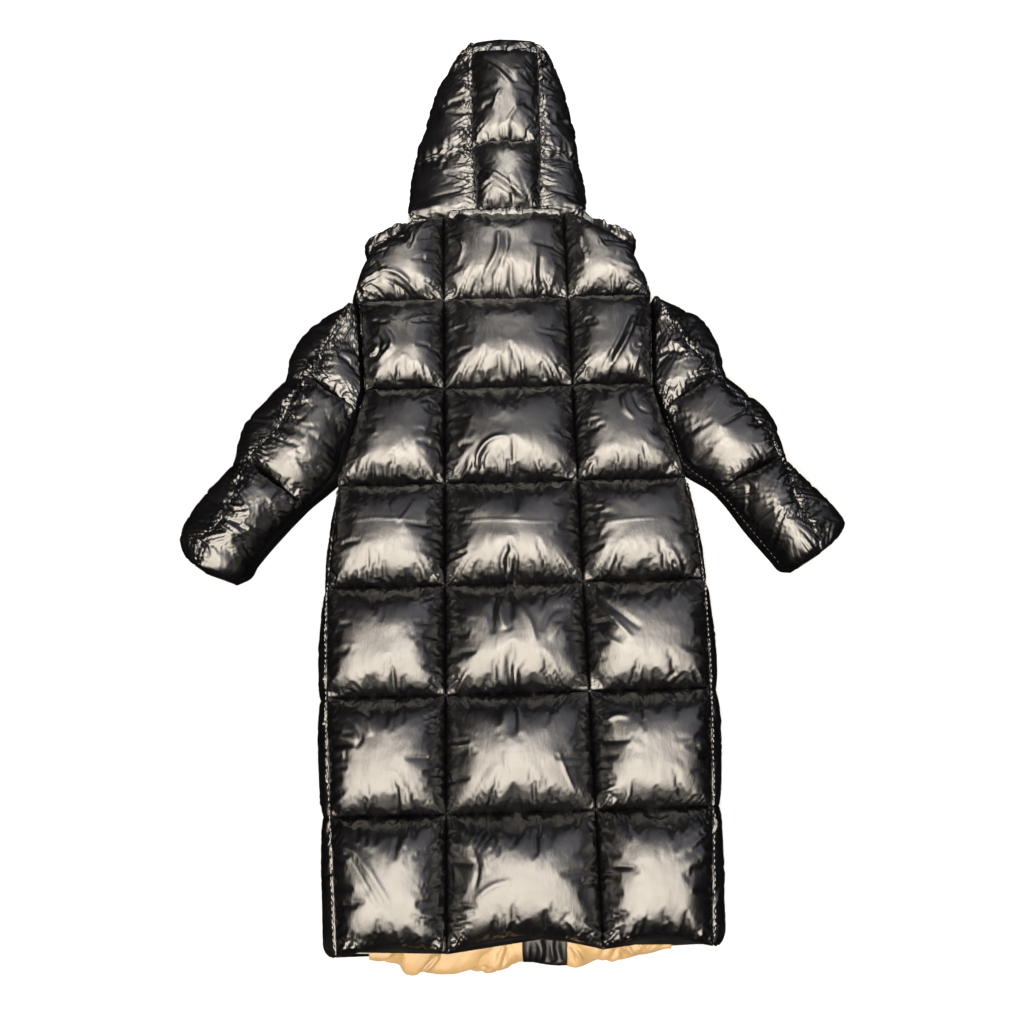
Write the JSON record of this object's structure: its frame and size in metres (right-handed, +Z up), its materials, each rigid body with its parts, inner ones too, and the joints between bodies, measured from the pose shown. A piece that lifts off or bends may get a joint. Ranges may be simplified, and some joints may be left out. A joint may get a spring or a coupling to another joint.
{
  "type": "long hooded puffer coat, laid flat on its front",
  "caption": "Long black hooded puffer coat laid face down and flat, with boxy quilted back panels and sleeves, a stand collar and its lining showing below the hem.",
  "frame": {"origin": "middle of the coat's outline, on the surface that it lies on", "axes": "+X towards the wearer's right, +Y from the hem to the hood, +Z up from the surface, towards the coat's back"},
  "size_m": [1.1064, 1.6843, 0.112],
  "materials": {
    "shell": "glossy black down-proof nylon",
    "lining": "smooth beige polyester lining"
  },
  "bodies": {
    "root": {"back_centre": "shell", "back_left": "shell", "back_right": "shell", "front_left": "shell", "front_right": "shell", "front_closure": "shell", "sleeve_left_back": "shell", "sleeve_left_front": "shell", "sleeve_right_back": "shell", "sleeve_right_front": "shell", "hood_centre": "shell", "hood_left": "shell", "hood_right": "shell", "collar": "shell", "facing": "shell", "lining_left": "lining", "lining_right": "lining"}
  },
  "joints": []
}
